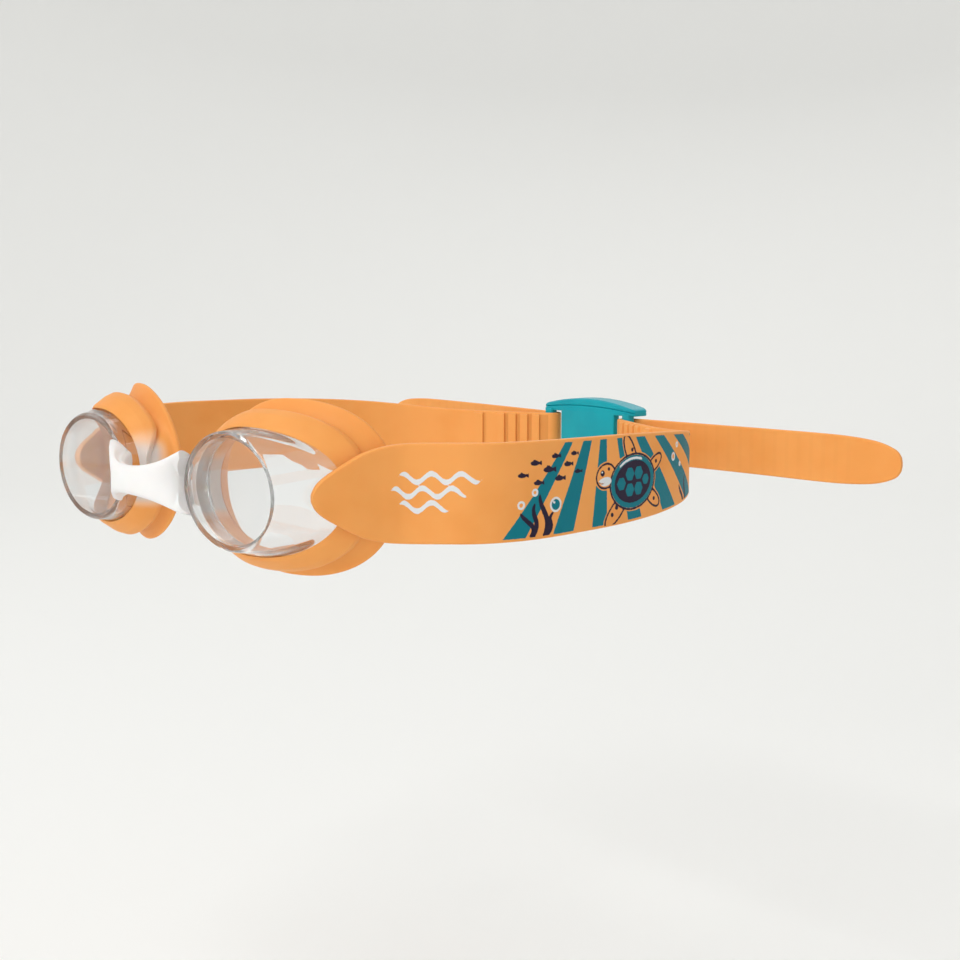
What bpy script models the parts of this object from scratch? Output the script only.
"""Child's swim goggles with a soft bridge, a broad side strap and a ladder clip at the back.

The wearer looks towards -Y, +Z is up and +X is the wearer's left.  The origin lies midway
between the two eye seals, where they meet the face.  Sizes in this file are millimetres and
become metres when a mesh is made.
"""

import math

import bmesh
import bpy
from mathutils import Vector

MM = 0.001
FIT_GAP = 0.3           # clearance left between pieces that touch

# Eyepieces
RING_POINTS = 44        # points round each eyepiece loop
TEMPLE_ROUNDNESS = 2.6  # 2 is an ellipse, more is squarer; the nose side stays an ellipse
LENS_FRONT_Y = -18.0    # plane of the flat front disc
LENS_TURN_OUT = 0.65    # how far the disc's temple edge lies behind its nose edge
LENS_NOSE_X = 14.3
LENS_TEMPLE_X = 49.8
LENS_HALF_HEIGHT = 13.5
LENS_RIM_ROUND = 0.6
LENS_WALL = 1.5

# Bridge, an arch that stands forward of the lenses; its ends are cut to the lens rims
BRIDGE_HALF_LENGTH = 16.2
BRIDGE_STATIONS = 33
BRIDGE_END_Y = -18.4        # its front where it meets the lenses
BRIDGE_ARCH = 7.1           # how far its middle stands in front of that
BRIDGE_BACK_Y = -21.8        # its back in the middle
BRIDGE_BACK_SWEEP = 6.6      # how far its ends reach behind that
BRIDGE_CORNER = 1.0
BRIDGE_CROWN = 0.2          # slight roundness of its four faces
CUT_FORWARD = 12.0          # the lens outline cuts the bridge this far forward

# Straps
STRAP_OUTER_HALF = 1.0      # from the strap's middle surface to its printed face
STRAP_INNER_HALF = 1.0
REAR_OUTER_HALF = 0.8
REAR_INNER_HALF = 0.5
RIDGE_HEIGHT = 0.5
RIDGE_PITCH = 3.87
RIDGE_WIDTH = 2.4
RIDGE_SLOPE = 0.35
STRAP_EDGE = 0.45           # rounding of the strap's long edges
TAIL_HALF_HEIGHT = 6.4

# Back clip
CLIP_Y = 132.8              # middle of the clip's rails, front to back
BAR_Y = 130.1               # the outer bars stand nearer the head
CLIP_HALF_LENGTH = 18.6
CLIP_HALF_DEPTH = 3.5
PLATE_HALF_WIDTH = 11.1
PLATE_HALF_DEPTH = 1.3
PLATE_Y = 130.6              # its front face is flush with the rails
BAR_X = 16.1
BAR_HALF_WIDTH = 1.5
SLOT_HALF_HEIGHT = 7.2
RAIL_END_Z = 9.1
RAIL_CROWN_Z = 11.5
RAIL_GROOVE_HALF = 0.2
RAIL_GROOVE_DEPTH = 0.4
RAIL_END_LENGTH = 1.4       # the rails thin down over this length at each end
WRAP_RADIUS = BAR_HALF_WIDTH + FIT_GAP + REAR_OUTER_HALF

ORANGE = (0.93, 0.38, 0.10)
TEAL = (0.02, 0.38, 0.45)
WHITE = (0.86, 0.85, 0.84)
CLEAR = (0.93, 0.95, 0.96)


# ---------------------------------------------------------------- scene and mesh helpers

def clear_scene():
    for old in list(bpy.data.objects):
        bpy.data.objects.remove(old, do_unlink=True)


def make_material(name, colour, roughness, transmission=0.0):
    material = bpy.data.materials.new(name)
    material.use_nodes = True
    shader = material.node_tree.nodes["Principled BSDF"]
    shader.inputs["Base Color"].default_value = (*colour, 1.0)
    shader.inputs["Roughness"].default_value = roughness
    shader.inputs["Metallic"].default_value = 0.0
    shader.inputs["Transmission Weight"].default_value = transmission
    return material


def skin_loops(loops, side=1, ring=False):
    """Join loops of equal length into one closed shell: capped at its ends, or closed as a ring."""
    shell = bmesh.new()
    rows = []
    for loop in loops:
        rows.append([shell.verts.new((side * x * MM, y * MM, z * MM)) for x, y, z in loop])
    count = len(rows[0])
    pairs = list(zip(rows, rows[1:]))
    if ring:
        pairs.append((rows[-1], rows[0]))
    else:
        shell.faces.new(rows[0])
        shell.faces.new(list(reversed(rows[-1])))
    for row_a, row_b in pairs:
        for i in range(count):
            j = (i + 1) % count
            shell.faces.new((row_a[i], row_b[i], row_b[j], row_a[j]))
    bmesh.ops.recalc_face_normals(shell, faces=shell.faces)
    return shell


def add_object(name, shell, material, sharp_degrees=40.0):
    mesh = bpy.data.meshes.new(name)
    shell.to_mesh(mesh)
    shell.free()
    mesh.shade_smooth()
    mesh.set_sharp_from_angle(angle=math.radians(sharp_degrees))
    obj = bpy.data.objects.new(name, mesh)
    bpy.context.collection.objects.link(obj)
    if material:
        mesh.materials.append(material)
    return obj


def move_origin(obj, x, y, z):
    """Put the object's origin on its joint's axis without moving its shape."""
    place = Vector((x * MM, y * MM, z * MM))
    for vertex in obj.data.vertices:
        vertex.co -= place
    obj.location = place


def add_cutter(name, shell):
    cutter = add_object(name, shell, None)
    cutter.hide_render = True
    cutter.display_type = "WIRE"
    return cutter


def boolean(obj, other, operation):
    modifier = obj.modifiers.new(operation.title() + " " + other.name, "BOOLEAN")
    modifier.operation = operation
    modifier.solver = "EXACT"
    modifier.object = other


# ---------------------------------------------------------------- eyepieces

def eye_ring(nose, temple, top, bottom, y_nose, y_temple, y_power=1.0, roundness=TEMPLE_ROUNDNESS):
    """A loop round one eye, from its extents.  It swings back towards the temple: its Y goes from
    y_nose to y_temple with the given power of the distance across."""
    centre = (nose + temple) / 2
    half = (temple - nose) / 2
    points = []
    for step in range(RING_POINTS):
        angle = 2 * math.pi * step / RING_POINTS
        c = math.cos(angle)
        s = math.sin(angle)
        power = 2 / roundness if c > 0 else 1.0
        x = centre + half * math.copysign(abs(c) ** power, c)
        z = (top if s > 0 else bottom) * abs(s) ** power
        across = min(max((x - nose) / (temple - nose), 0.0), 1.0)
        points.append((x, y_nose + (y_temple - y_nose) * across ** y_power, z))
    return points


def grown_ring(extra, nose, temple, top, bottom, *rest, back=0.0):
    """The same loop moved outwards by extra, and back by back."""
    y_nose, y_temple, *shape = rest
    return eye_ring(nose - extra, temple + extra, top + extra, bottom - extra,
                    y_nose + back, y_temple + back, *shape)


# Each row: nose X, temple X, top Z, bottom Z, Y at the nose, Y at the temple, power, roundness
LENS_DISC = (LENS_NOSE_X + LENS_RIM_ROUND, LENS_TEMPLE_X - LENS_RIM_ROUND,
             LENS_HALF_HEIGHT - LENS_RIM_ROUND, LENS_RIM_ROUND - LENS_HALF_HEIGHT,
             LENS_FRONT_Y, LENS_FRONT_Y + LENS_TURN_OUT, 1.0, 2.0)
LENS_RIM = (LENS_NOSE_X, LENS_TEMPLE_X, LENS_HALF_HEIGHT, -LENS_HALF_HEIGHT,
            LENS_FRONT_Y + LENS_RIM_ROUND, LENS_FRONT_Y + LENS_RIM_ROUND + LENS_TURN_OUT, 1.0, 2.0)
LENS_SIDE = (14.0, 51.6, 13.7, -13.8, -15.6, -9.6, 3.0, 2.3)
LENS_WINDOW = (13.6, 53.6, 14.0, -14.3, -14.0, -1.8, 4.5, 2.6)
LENS_BACK = (13.3, 54.6, 14.3, -14.6, -10.6, 1.6, 3.5, 2.6)
LENS_INNER_BACK = (14.7, 53.1, 12.9, -13.2, -10.6, 1.6, 3.5, 2.6)
LENS_INNER_SIDE = (15.2, 51.8, 12.4, -12.7, -13.4, -3.4, 4.5, 2.6)
LENS_INNER_FRONT = (LENS_NOSE_X + LENS_WALL, LENS_TEMPLE_X - LENS_WALL,
                    LENS_HALF_HEIGHT - LENS_WALL, LENS_WALL - LENS_HALF_HEIGHT,
                    LENS_FRONT_Y + LENS_WALL, LENS_FRONT_Y + LENS_WALL + LENS_TURN_OUT, 1.0, 2.0)

FRAME_CHAMFER = (12.5, 54.6, 15.1, -15.5, -13.2, -0.4, 4.5, 2.6)
FRAME_FRONT = (11.4, 55.4, 17.2, -17.7, -10.8, 1.2, 3.5, 2.6)
FRAME_CREST = (10.8, 56.0, 18.1, -18.6, -8.8, 2.6, 3.0, 2.6)
FRAME_BACK = (11.1, 56.0, 17.4, -17.9, -7.3, 4.2, 2.5, 2.6)
FRAME_LIP_BACK = (14.5, 53.6, 13.1, -13.4, -7.1, 4.4, 2.5, 2.6)
FRAME_LIP_FRONT = (14.7, 53.2, 12.9, -13.2, -10.2, 2.0, 3.5, 2.6)

SEAL_FRONT_INNER = (14.3, 53.8, 13.3, -13.6, -6.8, 4.7, 2.5, 2.6)
SEAL_FRONT_OUTER = (11.9, 55.6, 16.0, -16.7, -6.8, 4.7, 2.5, 2.6)
SEAL_GROOVE = (11.6, 56.0, 16.1, -16.7, -6.0, 5.8, 2.5, 2.6)
SEAL_FLARE = (10.9, 56.6, 17.8, -18.2, -4.9, 7.7, 2.4, 2.5)
SEAL_RIM = (10.0, 57.6, 20.2, -20.4, -4.4, 9.6, 2.3, 2.5)
SEAL_RIM_BACK = (10.2, 57.4, 20.0, -20.2, -3.3, 10.6, 2.3, 2.5)
SEAL_LINING_BACK = (11.8, 55.4, 17.4, -17.8, -3.4, 10.1, 2.2, 2.5)
SEAL_LINING = (13.2, 54.4, 15.0, -15.3, -5.2, 7.6, 2.3, 2.5)


def lens_shell(side):
    rows = (LENS_DISC, LENS_RIM, LENS_SIDE, LENS_WINDOW, LENS_BACK,
            LENS_INNER_BACK, LENS_INNER_SIDE, LENS_INNER_FRONT)
    return skin_loops([eye_ring(*row) for row in rows], side)


def frame_shell(side):
    """A collar: it grips the lens from outside and holds its back edge behind a small lip."""
    loops = [
        grown_ring(FIT_GAP, *LENS_WINDOW, back=FIT_GAP),
        eye_ring(*FRAME_CHAMFER),
        eye_ring(*FRAME_FRONT),
        eye_ring(*FRAME_CREST),
        eye_ring(*FRAME_BACK),
        eye_ring(*FRAME_LIP_BACK),
        eye_ring(*FRAME_LIP_FRONT),
        grown_ring(FIT_GAP, *LENS_BACK, back=FIT_GAP),
    ]
    return skin_loops(loops, side, ring=True)


def seal_shell(side):
    rows = (SEAL_FRONT_INNER, SEAL_FRONT_OUTER, SEAL_GROOVE, SEAL_FLARE,
            SEAL_RIM, SEAL_RIM_BACK, SEAL_LINING_BACK, SEAL_LINING)
    return skin_loops([eye_ring(*row) for row in rows], side, ring=True)


def eyepiece_plug(side):
    """The filled outer shape of a whole eyepiece, grown by the fit gap, to cut the bridge."""
    rows = (LENS_RIM, LENS_SIDE, LENS_WINDOW, FRAME_CHAMFER, FRAME_FRONT, FRAME_CREST, FRAME_BACK,
            SEAL_FRONT_OUTER, SEAL_GROOVE, SEAL_FLARE, SEAL_RIM, SEAL_RIM_BACK)
    loops = [grown_ring(FIT_GAP, *LENS_RIM, back=-CUT_FORWARD)]
    loops += [grown_ring(FIT_GAP, *row) for row in rows]
    return skin_loops(loops, side)


# ---------------------------------------------------------------- bridge

def bridge_front(x, z):
    """Y of the bridge's front face: an arch that comes down to the lens rim at every height."""
    nose, temple, top = LENS_RIM[:3]
    half_width = (temple - nose) / 2
    rim_x = nose + half_width * (1 - math.sqrt(1 - (z / top) ** 2))
    inside = min(abs(x) / rim_x, 1.0)
    return BRIDGE_END_Y - BRIDGE_ARCH * (1 - inside ** 2) ** 0.6


def bridge_loop(x):
    """The bridge's section across the nose at one X: a rounded four-sided shape that is taller
    towards the lenses, most of all along its front."""
    reach = abs(x) / LENS_NOSE_X
    back = BRIDGE_BACK_Y + BRIDGE_BACK_SWEEP * min(reach, 1.0) ** 2.6
    spread = reach ** 2.4
    top_front = 3.8 + 3.2 * spread
    top_back = 3.4 + 1.8 * spread
    bottom_front = -3.1 - 2.9 * spread
    bottom_back = -3.3 - 1.8 * spread
    centre = (top_front + bottom_front) / 2
    middle = (bridge_front(x, centre) + back) / 2
    upper = bridge_front(x, top_front - BRIDGE_CORNER)
    lower = bridge_front(x, bottom_front + BRIDGE_CORNER)
    return [
        (x, upper + BRIDGE_CORNER, top_front),
        (x, upper, top_front - BRIDGE_CORNER),
        (x, bridge_front(x, centre) - BRIDGE_CROWN, centre),
        (x, lower, bottom_front + BRIDGE_CORNER),
        (x, lower + BRIDGE_CORNER, bottom_front),
        (x, middle, (bottom_front + bottom_back) / 2 + BRIDGE_CROWN),
        (x, back - BRIDGE_CORNER, bottom_back),
        (x, back, bottom_back + BRIDGE_CORNER),
        (x, back + BRIDGE_CROWN, (top_back + bottom_back) / 2),
        (x, back, top_back - BRIDGE_CORNER),
        (x, back - BRIDGE_CORNER, top_back),
        (x, middle, (top_front + top_back) / 2 - BRIDGE_CROWN),
    ]


def build_bridge(material, plugs):
    last = BRIDGE_STATIONS - 1
    stations = [BRIDGE_HALF_LENGTH * (2 * i / last - 1) for i in range(BRIDGE_STATIONS)]
    bridge = add_object("bridge", skin_loops([bridge_loop(x) for x in stations]), material)
    for plug in plugs:
        boolean(bridge, plug, "DIFFERENCE")


# ---------------------------------------------------------------- straps

# Route of the strap's middle surface seen from above, with its half height: X, Y, half height
STRAP_ROUTE = (
    (53.4, -9.7, 0.9),
    (53.7, -8.9, 2.6),
    (54.2, -7.3, 4.2),
    (54.9, -5.1, 5.7),
    (56.0, -2.0, 7.6),
    (57.1, 1.6, 9.4),
    (58.5, 6.0, 10.6),
    (60.6, 10.6, 11.1),
    (65.2, 16.0, 11.2),
    (70.2, 21.6, 11.2),
    (73.6, 28.4, 11.15),
    (75.2, 37.0, 11.1),
    (75.5, 49.0, 10.9),
    (74.6, 65.0, 10.6),
    (72.0, 81.0, 9.9),
    (66.9, 95.0, 8.9),
    (59.2, 105.4, 7.7),
    (48.6, 112.6, 6.7),
    (36.8, 117.6, 6.4),
    (26.8, 122.0, 6.4),
)
WRAP_START_DEGREES = -116.0
WRAP_END_DEGREES = -270.0
WRAP_STEPS = 9
TAIL_ROUTE = (
    (25.0, 133.8, 6.4),
    (40.0, 135.2, 6.4),
    (60.0, 136.4, 6.45),
    (78.0, 136.9, 6.5),
    (88.0, 137.3, 6.3),
    (96.0, 137.8, 5.5),
    (101.0, 138.1, 3.9),
    (102.8, 138.2, 2.3),
    (103.2, 138.3, 0.9),
)
SMOOTH_STEPS = 3
TANGENT_REACH = 0.4         # the strap's direction is taken over this far each way
REAR_START = 118.0          # distance along the strap where its thin, ridged rear begins
REAR_BLEND = 12.0
RIDGE_START = 157.9
RIDGE_END_MARGIN = 9.0


def smooth_through(points, steps):
    """Points on a Catmull-Rom curve through the given points, steps to each stretch."""
    out = []
    last = len(points) - 1
    for i in range(last):
        p0 = points[max(i - 1, 0)]
        p1 = points[i]
        p2 = points[i + 1]
        p3 = points[min(i + 2, last)]
        for k in range(steps):
            t = k / steps
            out.append(tuple(
                0.5 * (2 * b + (c - a) * t + (2 * a - 5 * b + 4 * c - d) * t * t
                       + (3 * b - a - 3 * c + d) * t ** 3)
                for a, b, c, d in zip(p0, p1, p2, p3)))
    out.append(points[-1])
    return out


def wrap_points():
    """The strap's turn round the clip's outer bar."""
    points = []
    for step in range(WRAP_STEPS):
        share = step / (WRAP_STEPS - 1)
        angle = math.radians(WRAP_START_DEGREES + (WRAP_END_DEGREES - WRAP_START_DEGREES) * share)
        points.append((BAR_X + WRAP_RADIUS * math.cos(angle),
                       BAR_Y + WRAP_RADIUS * math.sin(angle), TAIL_HALF_HEIGHT))
    return points


def strap_line():
    """Dense points along the whole strap, each X, Y, half height and distance from the tip."""
    wrap = wrap_points()
    line = smooth_through(STRAP_ROUTE + (wrap[0],), SMOOTH_STEPS)[:-1]
    line += wrap[:-1]
    line += smooth_through((wrap[-1],) + TAIL_ROUTE, SMOOTH_STEPS)
    out = []
    travelled = 0.0
    previous = line[0]
    for point in line:
        travelled += math.dist(point[:2], previous[:2])
        previous = point
        out.append((*point, travelled))
    return out


def line_at(line, distance):
    """X, Y and half height at a distance along the strap."""
    for a, b in zip(line, line[1:]):
        if distance <= b[3]:
            share = (distance - a[3]) / max(b[3] - a[3], 1e-9)
            return tuple(a[k] + (b[k] - a[k]) * share for k in range(3))
    return line[-1][:3]


def strap_stations(line):
    """Distances along the strap that need a section, and how far each stands on a ridge."""
    total = line[-1][3]
    stations = [(point[3], 0.0) for point in line if point[3] < RIDGE_START - 1.0]
    wrap = wrap_points()
    wrap_from = next(p[3] for p in line if math.dist(p[:2], wrap[0][:2]) < 1e-6)
    wrap_to = next(p[3] for p in line if math.dist(p[:2], wrap[-1][:2]) < 1e-6)
    start = RIDGE_START
    while start + RIDGE_PITCH < total - RIDGE_END_MARGIN:
        end = start + RIDGE_WIDTH
        if end + RIDGE_SLOPE < wrap_from or start - RIDGE_SLOPE > wrap_to:
            stations += [(start - RIDGE_SLOPE, 0.0), (start, 1.0)]
            stations += [(end, 1.0), (end + RIDGE_SLOPE, 0.0)]
        start += RIDGE_PITCH
    stations += [(p[3], 0.0) for p in line if wrap_from - 0.2 < p[3] < wrap_to + 0.2]
    stations += [(p[3], 0.0) for p in line if p[3] > total - RIDGE_END_MARGIN + 1.0]
    return sorted(stations)


def strap_loops(line):
    loops = []
    total = line[-1][3]
    for distance, ridge in strap_stations(line):
        x, y, half_height = line_at(line, distance)
        ahead = line_at(line, min(distance + TANGENT_REACH, total))
        behind = line_at(line, max(distance - TANGENT_REACH, 0.0))
        direction = Vector((ahead[0] - behind[0], ahead[1] - behind[1])).normalized()
        outward = Vector((direction.y, -direction.x))
        rear = min(max((distance - REAR_START) / REAR_BLEND, 0.0), 1.0)
        outer = STRAP_OUTER_HALF + (REAR_OUTER_HALF - STRAP_OUTER_HALF) * rear
        inner = STRAP_INNER_HALF + (REAR_INNER_HALF - STRAP_INNER_HALF) * rear
        ridged = inner + RIDGE_HEIGHT * ridge
        face_z = max(half_height - STRAP_EDGE, 0.3)
        ridge_z = max(half_height - 2 * STRAP_EDGE, 0.25)
        upper = [
            (outer, face_z),
            (outer - STRAP_EDGE, half_height),
            (-inner + 0.6 * STRAP_EDGE, half_height),
            (-ridged, ridge_z),
        ]
        outline = upper + [(n, -z) for n, z in reversed(upper)]
        loops.append([(x + outward.x * n, y + outward.y * n, z) for n, z in outline])
    return loops


def build_strap(name, side, line, material):
    return add_object(name, skin_loops(strap_loops(line), side), material)


# ---------------------------------------------------------------- back clip

def rail_loop(x, up):
    """Section of a clip rail at one X: a bar with rounded edges and a groove along both sides."""
    share = abs(x) / CLIP_HALF_LENGTH
    crown = RAIL_END_Z + (RAIL_CROWN_Z - RAIL_END_Z) * (1 - share ** 2)
    end = max(0.0, abs(x) - (CLIP_HALF_LENGTH - RAIL_END_LENGTH)) / RAIL_END_LENGTH
    depth = CLIP_HALF_DEPTH - 1.0 * end ** 2
    crown -= 0.3 * end ** 2
    low = SLOT_HALF_HEIGHT
    groove = low + 0.5 * (crown - low)
    half = [
        (depth - 0.2, low),
        (depth, low + 0.2),
        (depth, groove - RAIL_GROOVE_HALF),
        (depth - RAIL_GROOVE_DEPTH, groove),
        (depth, groove + RAIL_GROOVE_HALF),
        (depth, crown - 0.4),
        (depth - 0.6, crown),
    ]
    outline = half + [(-d, z) for d, z in reversed(half)]
    return [(x, CLIP_Y + d, up * z) for d, z in outline]


def bar_shell(x, y, half_width, half_depth, corner):
    """An upright bar or plate of the clip, with rounded edges, from rail to rail."""
    reach = SLOT_HALF_HEIGHT + 0.6
    outline = []
    for sign_x, sign_y, first in ((1, -1, -90), (1, 1, 0), (-1, 1, 90), (-1, -1, 180)):
        for angle in (first, first + 45, first + 90):
            turn = math.radians(angle)
            outline.append((x + sign_x * (half_width - corner) + corner * math.cos(turn),
                            y + sign_y * (half_depth - corner) + corner * math.sin(turn)))
    return skin_loops([[(px, py, z) for px, py in outline] for z in (-reach, reach)])


def build_clip(material):
    shares = (0.0, 0.19, 0.38, 0.55, 0.7, 0.86, 0.925, 0.96, 0.985, 1.0)
    stations = [-CLIP_HALF_LENGTH * share for share in reversed(shares[1:])]
    stations += [CLIP_HALF_LENGTH * share for share in shares]
    clip = add_object("back_clip", skin_loops([rail_loop(x, 1) for x in stations]), material)
    parts = {
        "cut_lower_rail": skin_loops([rail_loop(x, -1) for x in stations]),
        "cut_plate": bar_shell(0.0, PLATE_Y, PLATE_HALF_WIDTH, PLATE_HALF_DEPTH, 0.5),
        "cut_bar_left": bar_shell(BAR_X, BAR_Y, BAR_HALF_WIDTH, BAR_HALF_WIDTH, 0.9),
        "cut_bar_right": bar_shell(-BAR_X, BAR_Y, BAR_HALF_WIDTH, BAR_HALF_WIDTH, 0.9),
    }
    for name, shell in parts.items():
        boolean(clip, add_cutter(name, shell), "UNION")
    return clip


# ---------------------------------------------------------------- the whole object

HINGE_X = 12.0
HINGE_Y = -13.0


def build_goggles():
    clear_scene()
    clear = make_material("clear_lens", CLEAR, 0.03, transmission=1.0)
    orange = make_material("orange_silicone", ORANGE, 0.45)
    white = make_material("white_satin", WHITE, 0.35)
    teal = make_material("teal_plastic", TEAL, 0.3)

    plugs = []
    line = strap_line()
    for label, side in (("left", 1), ("right", -1)):
        pieces = (
            add_object("lens_" + label, lens_shell(side), clear),
            add_object("frame_" + label, frame_shell(side), orange),
            add_object("eye_seal_" + label, seal_shell(side), orange),
        )
        for piece in pieces:
            move_origin(piece, side * HINGE_X, HINGE_Y, 0.0)
        build_strap("strap_" + label, side, line, orange)
        plugs.append(add_cutter("plug_" + label, eyepiece_plug(side)))
    build_bridge(white, plugs)
    build_clip(teal)


build_goggles()
